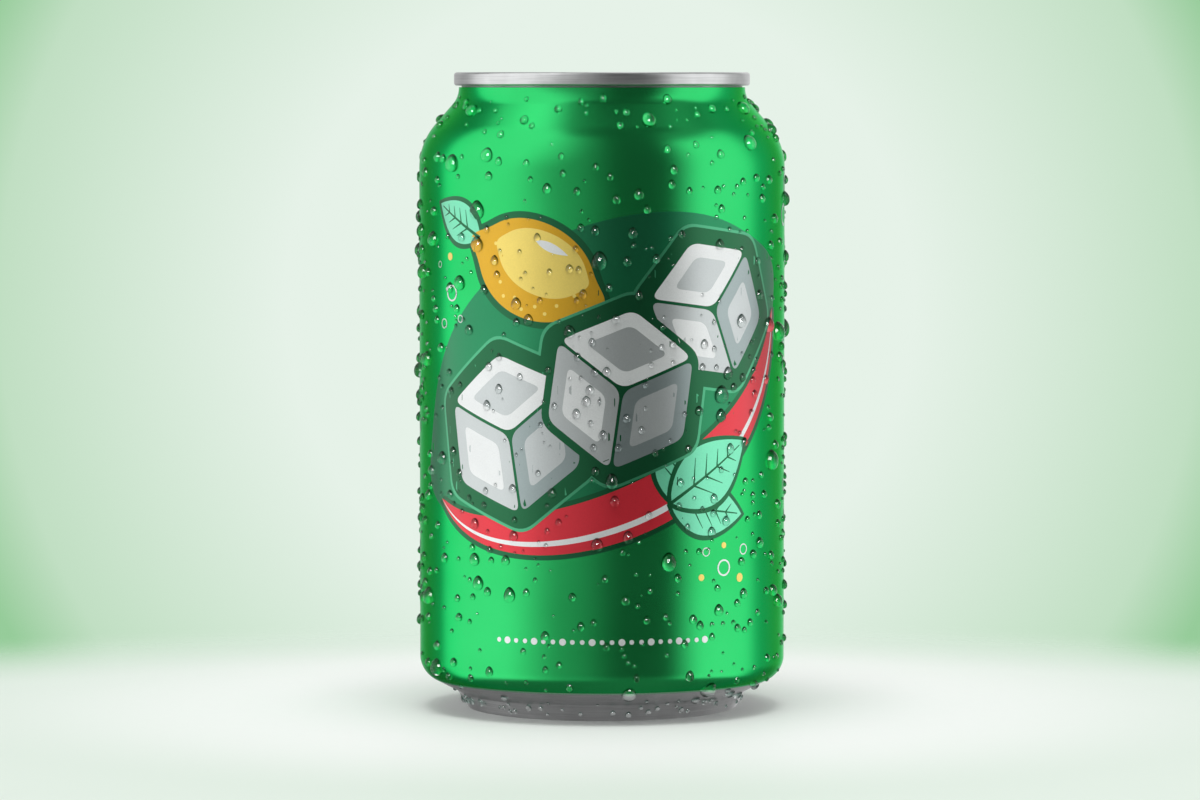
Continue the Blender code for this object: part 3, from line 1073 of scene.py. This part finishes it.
def bead_piece(name, spots, segments, rings, scale, sunk, seed):
    """Piece of water beads at scattered spots."""
    draw = random.Random(seed)
    places = []
    turns = []
    for place, (side, upward, normal), size in spots:
        radius = wall_point(WALL, place.z)[0] + BEAD_LIFT
        out = Vector((place.x, place.y, 0.0)).normalized()
        places.append(Vector((*(radius * out).xy, place.z)) - sunk * size * normal)
        turns += list(Matrix((side, upward, normal)).transposed().to_quaternion())
    start = plain_mesh(name, places)
    carry(start, "size", "FLOAT", [scale * size for _, _, size in spots])
    carry(start, "stretch", "FLOAT", [STRETCH * draw.uniform(0.94, 1.08) for _ in spots])
    carry(start, "facing", "QUATERNION", turns)
    carry(start, "variant", "INT", [draw.randrange(VARIANTS) for _ in spots])
    settings = {"Segments": segments, "Rings": rings, "Material": WATER}
    piece = grown(name, DROPLETS, start, settings)
    finish_mesh(piece, 80.0)
    fit(piece, "water")


bead_piece("droplets_large", large, 20, 9, 0.9, 0.06, 1)
bead_piece("droplets_medium", medium + foot, 12, 6, 1.0, 0.05, 2)
bead_piece("droplets_fine", fine, 8, 6, 1.0, 0.0, 3)

# %% [markdown]
# The end is stamped from thicker sheet and rolled onto the body in a double seam. Its wall
# drops into a narrow groove, the countersink, and the panel inside carries the tear area with
# its scored line. Polar rings make the whole end: the outer ones follow the section, and those
# of the panel take their height from a rule in x and y.

# %% Panel relief
PANEL_TOP = CAN_HEIGHT - 4.3 * MM
SUNK_DEPTH = 0.5 * MM
SUNK_FRONT = (0.0, -9.5 * MM, 11.5 * MM)
SUNK_BACK = (0.0, 9.8 * MM, 9.2 * MM)
TEAR_FRONT = (0.0, -12.2 * MM, 7.0 * MM)
TEAR_BACK = (0.0, -7.4 * MM, 6.4 * MM)
SCORE_DEPTH = 0.12 * MM
SCORE_WIDTH = 0.22 * MM
TEAR_BEAD = 0.16 * MM
TEAR_BEAD_WIDTH = 0.55 * MM
TEAR_BEAD_INSET = 1.9 * MM
RIVET_BEAD = 0.10 * MM
RIVET_BEAD_WIDTH = 0.45 * MM
RIVET_BEAD_RADIUS = 3.4 * MM
DIMPLE_DEPTH = 0.35 * MM


def hull_distance(x, y, first, second):
    """Distance from the hull of two circles (x, y, radius) on one line along Y."""
    apart = second[1] - first[1]
    lean = (first[2] - second[2]) / apart
    rest = math.sqrt(1 - lean * lean)
    across = np.abs(x - first[0])
    along = y - first[1]
    side = -lean * across + rest * along
    near_first = np.hypot(across, along) - first[2]
    near_second = np.hypot(across, along - apart) - second[2]
    between = across * rest + along * lean - first[2]
    return np.where(side < 0, near_first, np.where(side > rest * apart, near_second, between))


def smooth(value, low, high):
    """Smooth step from 0 at low to 1 at high."""
    share = np.clip((value - low) / (high - low), 0, 1)
    return share * share * (3 - 2 * share)


def ridge(distance, height, width):
    """Smooth ridge where a distance is 0."""
    return height * np.exp(-(distance / width) ** 2)


def panel_height(x, y):
    """Height of the panel: sunk area, tear bead, score line, dimple and rivet bead."""
    sunk = hull_distance(x, y, SUNK_FRONT, SUNK_BACK)
    tear = hull_distance(x, y, TEAR_FRONT, TEAR_BACK)
    height = PANEL_TOP - SUNK_DEPTH * (1 - smooth(sunk, -0.7 * MM, 0.0))
    height = height - ridge(tear, SCORE_DEPTH, SCORE_WIDTH)
    height = height + ridge(tear + TEAR_BEAD_INSET, TEAR_BEAD, TEAR_BEAD_WIDTH)
    height = height + ridge(np.hypot(x, y) - RIVET_BEAD_RADIUS, RIVET_BEAD, RIVET_BEAD_WIDTH)
    dimple = np.hypot(x / 1.25, y - 13.0 * MM)
    return height - DIMPLE_DEPTH * (1 - smooth(dimple, 2.6 * MM, 4.6 * MM))


# %% Can end
END_SEGMENTS = 256
PANEL_RINGS = 112
END_RIM = [
    (22.2 * MM, PANEL_TOP, 0.4 * MM),
    (22.5 * MM, 108.5 * MM, 0.4 * MM),
    (23.7 * MM, 108.5 * MM, 0.4 * MM),
    (25.3 * MM, CAN_HEIGHT, 0.5 * MM),
    (26.8 * MM, CAN_HEIGHT, 0.55 * MM),
    (26.8 * MM, CAN_HEIGHT - SEAM_HEIGHT, 0.5 * MM),
    (25.5 * MM, CAN_HEIGHT - SEAM_HEIGHT, 0),
    (24.0 * MM, 108.2 * MM, 0),
    (22.2 * MM, 108.2 * MM, 0),
    (21.9 * MM, 109.6 * MM, 0),
    (0, 109.6 * MM, 0),
]
RIVET = [
    (0, 111.72 * MM, 0), (1.0 * MM, 111.74 * MM, 0.5 * MM), (1.5 * MM, 111.9 * MM, 0.3 * MM),
    (2.7 * MM, 111.9 * MM, 0.3 * MM), (2.7 * MM, 111.4 * MM, 0.12 * MM), (1.7 * MM, 111.4 * MM, 0),
    (1.7 * MM, 110.1 * MM, 0), (0, 110.1 * MM, 0),
]


def end_mesh():
    """Closed mesh of the end, ring by ring from the middle of the panel to its underside."""
    rim = rounded([(0, PANEL_TOP, 0)] + END_RIM, FINE_CHORD)[1:]
    inner = rim[0].x
    rings = [(inner * step / PANEL_RINGS, None) for step in range(1, PANEL_RINGS)]
    rings += [(point.x, point.y) for point in rim[:-1]]
    angles = np.arange(END_SEGMENTS) * 2 * math.pi / END_SEGMENTS
    points = [(0.0, 0.0, float(panel_height(np.zeros(1), np.zeros(1))[0]))]
    for radius, height in rings:
        x = radius * np.cos(angles)
        y = radius * np.sin(angles)
        z = panel_height(x, y) if height is None else np.full(END_SEGMENTS, height)
        points += list(zip(x.tolist(), y.tolist(), z.tolist()))
    points.append((0.0, 0.0, rim[-1].y))
    last = len(points) - 1
    faces = []
    for k in range(END_SEGMENTS):
        after = (k + 1) % END_SEGMENTS
        faces.append((0, 1 + k, 1 + after))
        for ring in range(len(rings) - 1):
            near = 1 + ring * END_SEGMENTS
            far = near + END_SEGMENTS
            faces.append((near + k, far + k, far + after, near + after))
        rim_start = 1 + (len(rings) - 1) * END_SEGMENTS
        faces.append((last, rim_start + after, rim_start + k))
    return plain_mesh("can_end_fine", points, faces=faces)


def joined(name, parts):
    """One piece from several, which are used up."""
    mesh = bmesh.new()
    for part in parts:
        mesh.from_mesh(part.data)
    data = bpy.data.meshes.new(name)
    mesh.to_mesh(data)
    mesh.free()
    data.materials.append(parts[0].data.materials[0])
    data.polygons.foreach_set("material_index", [0] * len(data.polygons))
    for part in parts:
        bpy.data.objects.remove(part, do_unlink=True)
    return linked(name, data)


end_sheet = bpy.data.objects.new("end_sheet", end_mesh())
end_sheet.data.materials.append(END_METAL)
rivet = turn_piece("rivet", rounded(RIVET, FINE_CHORD), END_METAL, 48)
can_end = joined("can_end_fine", [end_sheet, rivet])
finish_mesh(can_end)
fit(can_end, "end_aluminium", "can_end")

# %% [markdown]
# The pull tab is one strip of sheet whose edges are curled under, so its rim looks like a
# tube. A second curl runs round the finger hole, and a flat web between them holds the rivet.
# The curls follow a closed path, which Geometry Nodes turns into tubes. The web is a flat
# outline with holes, given its thickness and a step between its low and high areas.

# %% Tab outlines
TAB_NOSE = (0.0, -1.0 * MM, 7.9 * MM)
TAB_HEEL = (0.0, 9.6 * MM, 6.9 * MM)
TAB_LOW = 110.7 * MM
TAB_HIGH = 111.9 * MM
TAB_SHEET = 0.4 * MM
WELL = ((0.0, -1.2 * MM, 6.2 * MM), (0.0, -0.4 * MM, 5.7 * MM))
HOLE = ((-1.2 * MM, 10.6 * MM, 3.8 * MM), (1.2 * MM, 10.6 * MM, 3.8 * MM))


def circle_hull(first, second, sides, inset=0.0):
    """Outline round two circles of (x, y, radius), as points in order."""
    apart = Vector((second[0] - first[0], second[1] - first[1]))
    heading = math.atan2(apart.y, apart.x)
    lean = math.acos((first[2] - second[2]) / apart.length)
    points = []
    for (x, y, radius), start, turn in ((second, heading - lean, 2 * lean),
                                        (first, heading + lean, 2 * (math.pi - lean))):
        steps = max(2, round(sides * turn / (2 * math.pi)))
        for step in range(steps + 1):
            angle = start + turn * step / steps
            points.append(Vector((x + (radius - inset) * math.cos(angle),
                                  y + (radius - inset) * math.sin(angle))))
    return points


# %% Curl tree
def curl_tree():
    """Tree that sweeps a round section along a closed path."""
    nodes, given = new_tree("curled_rim", {"Radius": 0.6 * MM, "Sides": 20})
    path = nodes.add("GeometryNodeMeshToCurve", {"Mesh": given["Geometry"]})
    section = nodes.add("GeometryNodeCurvePrimitiveCircle",
                        {"Resolution": given["Sides"], "Radius": given["Radius"]}, mode="RADIUS")
    tube = nodes.add("GeometryNodeCurveToMesh", {"Curve": path, "Profile Curve": section})
    return close_tree(nodes, tube, given["Material"])


CURLS = curl_tree()


def curl(name, outline, radius, height):
    """Closed tube along an outline at a height."""
    points = [(point.x, point.y, height) for point in outline]
    count = len(points)
    edges = [(k, (k + 1) % count) for k in range(count)]
    start = plain_mesh(name, points, edges=edges)
    return grown(name, CURLS, start, {"Radius": radius, "Material": TAB_METAL})


# %% Tab finish
def tab_finish():
    """Bright rolled sheet with fine lines along the tab and small wear marks."""
    finish = Finish("tab_metal", Metallic=1.0)
    lines = finish.noise(2400.0, 3.0, (1.0, 0.06, 1.0))
    marks = finish.noise(700.0, 4.0)
    worn = marks.rise(0.58, 0.74)
    bright = finish.grained(lines, (0.70, 0.71, 0.72), (0.84, 0.85, 0.85))
    finish.set("Base Color", finish.mix(worn * 0.5, bright, (0.60, 0.61, 0.62)))
    finish.set("Roughness", 0.16 + 0.10 * lines + 0.10 * worn)
    finish.bump(lines, 0.004 * MM, 0.5)
    return finish.material


TAB_METAL = tab_finish()

# %% Pull tab
WEB_STEP = 0.35 * MM
WEB_RAISE = 0.45 * MM
WEB_INSET = 0.7 * MM
HOLE_INSET = 0.3 * MM
RIM_SIDES = 96
HOLE_SIDES = 64
RIVET_HOLE = 2.0 * MM
SLOT_RADIUS = 4.3 * MM
SLOT_HALF = 0.22 * MM


def web_height(x, y):
    """Underside height of the web: low round the rivet, raised towards the curls."""
    well = hull_distance(np.array([x]), np.array([y]), *WELL)[0]
    return TAB_LOW + WEB_RAISE * float(smooth(well, -0.5 * MM, 0.3 * MM))


def rivet_slot():
    """Bent slot on the nose side of the rivet, which lets the tab tilt."""
    angles = [205 + 130 * step / 24 for step in range(25)]
    outer = [polar(Vector((0, 0)), SLOT_RADIUS + SLOT_HALF, angle) for angle in angles]
    inner = [polar(Vector((0, 0)), SLOT_RADIUS - SLOT_HALF, angle) for angle in angles]
    return outer + inner[::-1]


def web_mesh():
    """Closed sheet between the curls, with the finger hole, the rivet hole and the slot."""
    rim = circle_hull(TAB_NOSE, TAB_HEEL, RIM_SIDES, WEB_INSET)
    finger = circle_hull(*HOLE, HOLE_SIDES, -HOLE_INSET)
    rivet_hole = [polar(Vector((0, 0)), RIVET_HOLE, 10 * k) for k in range(36)]
    inside = [WEB_STEP * Vector((column, row)) for column in range(-22, 23)
              for row in range(-26, 48)]
    flat, kept = split_flat([rim, finger, rivet_hole, rivet_slot()], inside, {1, 2, 3})
    used = sorted({number for tri in kept for number in tri})
    under = {number: place for place, number in enumerate(used)}
    above = {number: place + len(used) for place, number in enumerate(used)}
    points = [(flat[n].x, flat[n].y, web_height(flat[n].x, flat[n].y)) for n in used]
    points += [(x, y, z + TAB_SHEET) for x, y, z in points]
    return plain_mesh("tab_web", points, faces=shell_faces(kept, above, under))


RIM_CURL = (TAB_HIGH - TAB_LOW) / 2
HOLE_CURL = 0.4 * MM
HOLE_CURL_HEIGHT = TAB_LOW + 0.62 * MM
rim_curl = curl("rim_curl", circle_hull(TAB_NOSE, TAB_HEEL, RIM_SIDES, RIM_CURL), RIM_CURL,
                TAB_LOW + RIM_CURL)
hole_curl = curl("hole_curl", circle_hull(*HOLE, HOLE_SIDES, -HOLE_CURL), HOLE_CURL,
                 HOLE_CURL_HEIGHT)
web = bpy.data.objects.new("tab_web", web_mesh())
pull_tab = joined("pull_tab_fine", [rim_curl, hole_curl, web])
finish_mesh(pull_tab)
fit(pull_tab, "tab_aluminium", "pull_tab")

# %% [markdown]
# The can stands on a pale table, which is stage and no part of the model. Its colour is paler near
# the can, a painted pool of light, and it fades out into the backdrop, so that no edge of it shows.
# It is hidden from rays in metal and water, because the room below gives them a softer floor.

# %% Table
TABLE_RADIUS = 1.6
TABLE_DEPTH = 0.01
PAINTED_LIGHT_REACH = (0.055, 0.125)
FADE_FRONT = 0.10
FADE_REACH = (0.170, 0.250)


def table_finish():
    """Matt pale table top with a painted pool of light round the can, fading into the backdrop."""
    finish = Finish("pale_table", Roughness=0.6)
    x, y, z = finish.axes()
    reach = (x * x + y * y).math("SQRT")
    grain = finish.noise(300.0, 3.0)
    near = finish.mix(grain, (0.88, 0.90, 0.88), (0.90, 0.92, 0.90))
    # Painted light: the table's colour is paler near the can and greener away from it.
    finish.set("Base Color", finish.mix(reach.rise(*PAINTED_LIGHT_REACH), near, (0.69, 0.78, 0.70)))
    ahead = y + FADE_FRONT
    fade = (x * x + ahead * ahead).math("SQRT").rise(*FADE_REACH)
    fade = fade.math("MAXIMUM", (z * -1).rise(0.0, 0.001))
    clear = finish.add("ShaderNodeBsdfTransparent")
    solid = Value(finish, finish.shader.outputs[0])
    blend = finish.add("ShaderNodeMixShader", {0: fade, 1: solid, 2: clear})
    finish.feed(finish.tree.nodes["Material Output"].inputs["Surface"], blend)
    return finish.material


def table():
    """Round table top as a thin slab under the can."""
    rings = [(0.0, 0.0), (0.3, 0.0), (TABLE_RADIUS, 0.0), (TABLE_RADIUS, -TABLE_DEPTH),
             (0.0, -TABLE_DEPTH)]
    slab = turn_piece("table", rings, table_finish(), 96)
    slab.visible_glossy = False
    slab.visible_transmission = False


table()

# %% [markdown]
# Two tall soft lights at the sides draw the bright bands on the lacquer, and the dark gap
# between them is the unlit room behind the camera. A round metal wall shows each direction of
# the room as one upright stripe, so the room is described by direction, in azimuth and height.
# Each kind of ray gets the light that suits it. Rays thrown back by a shiny surface see the
# side lights, and rays that go on through a droplet see a dimmer room with pale sides. The
# camera sees the backdrop, and all other rays an even soft light. Only a mirror-sharp surface
# shows the small window, as the glint on each bead.

# %% Room light
SIDE_LIGHT = 1.22
BACKDROP_DIP = 0.043
ROOM_DARK = 0.095
WATER_BACK_LIGHT = 0.80
WATER_SIDE_LIGHT = 0.85
WATER_FLOOR_LIGHT = 0.45
WATER_BRIGHTEST = 1.35
WINDOW_LIGHT = 30.0
MATT_LIGHT = 0.565
MATT_TOP_LIGHT = 0.42
MIDDLE_GREEN = (0.533, 0.737, 0.546)
DEEP_GREEN = (0.305, 0.604, 0.323)
BACKDROP_STOPS = [(0.30, (0.791, 0.887, 0.807)), (0.57, MIDDLE_GREEN), (0.64, DEEP_GREEN),
                  (0.76, DEEP_GREEN), (0.96, MIDDLE_GREEN)]


def side_light(x, z, azimuth):
    """Tall lights at both sides. The left one has a dim inner part and a cut over the neck."""
    right = azimuth.rise(40, 68) * (1 - azimuth.rise(102, 124)) * z.rise(-0.58, -0.48)
    right = right * (0.22 + 0.78 * (1 - z.rise(0.62, 0.78))) * (1 - z.rise(0.82, 0.90))
    leftward = azimuth * -1
    left = leftward.rise(-15, 25) * 0.30 + (leftward + 14 * z.rise(-0.10, 0.60)).rise(22, 66) * 0.70
    left = left * (1 - leftward.rise(113, 124)) * z.rise(-0.66, -0.50)
    left = left * (1 - 0.85 * z.rise(0.80, 0.90) * (1 - (x * -1).rise(0.20, 0.40)))
    return (left + right) * SIDE_LIGHT


def back_light(z, azimuth):
    """Backdrop as the edges of the wall mirror it."""
    away = azimuth.math("ABSOLUTE")
    back = 0.30 * away.rise(110, 124) + 0.30 * away.rise(142, 165)
    back = back * (z.rise(-0.35, -0.15) + azimuth.rise(0, 90) * z.rise(-0.85, -0.20) * 0.5)
    return back * (1 - 0.35 * z.rise(0.3, 0.6))


def water_light(x, y, z, level):
    """Room as it shines through the droplets."""
    light = level * (0.30 + 0.70 * z.rise(-0.40, 0.10)) + y.rise(0.45, 0.90) * WATER_BACK_LIGHT
    aside = x.math("ABSOLUTE").rise(0.12, 0.45)
    light = light + z.rise(-0.30, 0.45) * aside * WATER_SIDE_LIGHT
    light = light + (1 - z.rise(-0.85, -0.50)) * WATER_FLOOR_LIGHT
    return light.math("MINIMUM", WATER_BRIGHTEST)


def window_light(z, azimuth):
    """Small bright window in front of the can."""
    window = azimuth.rise(-24, -16) * (1 - azimuth.rise(20, 28)) * z.rise(0.18, 0.24)
    return window * (1 - z.rise(0.62, 0.70)) * WINDOW_LIGHT


def room():
    """World whose light depends on direction and on the kind of ray."""
    world = bpy.data.worlds.new("studio_room")
    bpy.context.scene.world = world
    world.use_nodes = True
    nodes = Nodes(world.node_tree)
    x, y, z = nodes.split(nodes.add("ShaderNodeTexCoord", output="Generated"))
    azimuth = x.math("ARCTAN2", y * -1) * (180 / math.pi)
    above = z.rise(0.80, 0.95) * y.rise(-0.12, 0.12) * 0.55
    under = (1 - z.rise(-0.5, -0.2)) * 0.11
    level = side_light(x, z, azimuth) + back_light(z, azimuth) + above + under + ROOM_DARK
    matt = z.rise(-0.05, 0.10) * MATT_LIGHT + z.rise(0.45, 0.85) * MATT_TOP_LIGHT
    path = nodes.tree.nodes.new("ShaderNodeLightPath")
    seen, mirrored, through, sharp = (Value(nodes, path.outputs[f"Is {kind} Ray"]) for kind in
                                      ("Camera", "Glossy", "Transmission", "Singular"))
    mirrored = mirrored * (1 - through)
    shiny = mirrored.math("MAXIMUM", through)
    level = (level * mirrored + water_light(x, y, z, level) * through + matt * (1 - shiny)
             + window_light(z, azimuth) * mirrored * sharp)
    light = nodes.add("ShaderNodeBackground", {"Color": nodes.vector(level, level, level)})
    lift = z + BACKDROP_DIP
    off_axis = (x * x + lift * lift).math("SQRT")
    shown = nodes.add("ShaderNodeValToRGB", {"Fac": (off_axis + y.rise(0.0, -0.5)) * 5.0},
                      stops=BACKDROP_STOPS)
    backdrop = nodes.add("ShaderNodeBackground", {"Color": shown})
    both = nodes.add("ShaderNodeMixShader", {0: seen, 1: light, 2: backdrop})
    nodes.feed(nodes.tree.nodes["World Output"].inputs["Surface"], both)


room()

# %% [markdown]
# One soft lamp above and a little in front of the can gives the table the direct part of its
# light, and so the shadow under the can. Metal and water don't show it. The camera has a long
# lens, as for a picture of a product, so the can hardly narrows towards its foot.

# %% Lamp and camera
LAMP_SIZE = (0.65, 0.6)
LAMP_POWER = 7.6
LAMP_PLACE = (-0.02, -0.25, 1.37)


def overhead():
    """Soft lamp that only lights matt surfaces, and draws the shadow under the can."""
    data = bpy.data.lights.new("overhead_light", "AREA")
    data.shape = "RECTANGLE"
    data.size, data.size_y = LAMP_SIZE
    data.energy = LAMP_POWER
    lamp = linked("overhead_light", data)
    lamp.location = LAMP_PLACE
    lamp.rotation_euler = Vector(LAMP_PLACE).to_track_quat("Z", "Y").to_euler()
    lamp.visible_glossy = False
    lamp.visible_camera = False
    lamp.visible_transmission = False


CAMERA_PLACE = (-0.36 * MM, -0.950, 0.1145)
CAMERA_PITCH = 3.54
CAMERA_LENS = 157.05


def camera():
    """Long lens, a little above the rim and looking slightly down."""
    data = bpy.data.cameras.new("front_camera")
    data.lens = CAMERA_LENS
    data.sensor_width = 36.0
    data.clip_start = 0.05
    eye = linked("front_camera", data)
    eye.location = CAMERA_PLACE
    eye.rotation_euler = (math.radians(90 - CAMERA_PITCH), 0.0, 0.0)
    bpy.context.scene.camera = eye


overhead()
camera()
bpy.context.scene.view_settings.view_transform = "Standard"
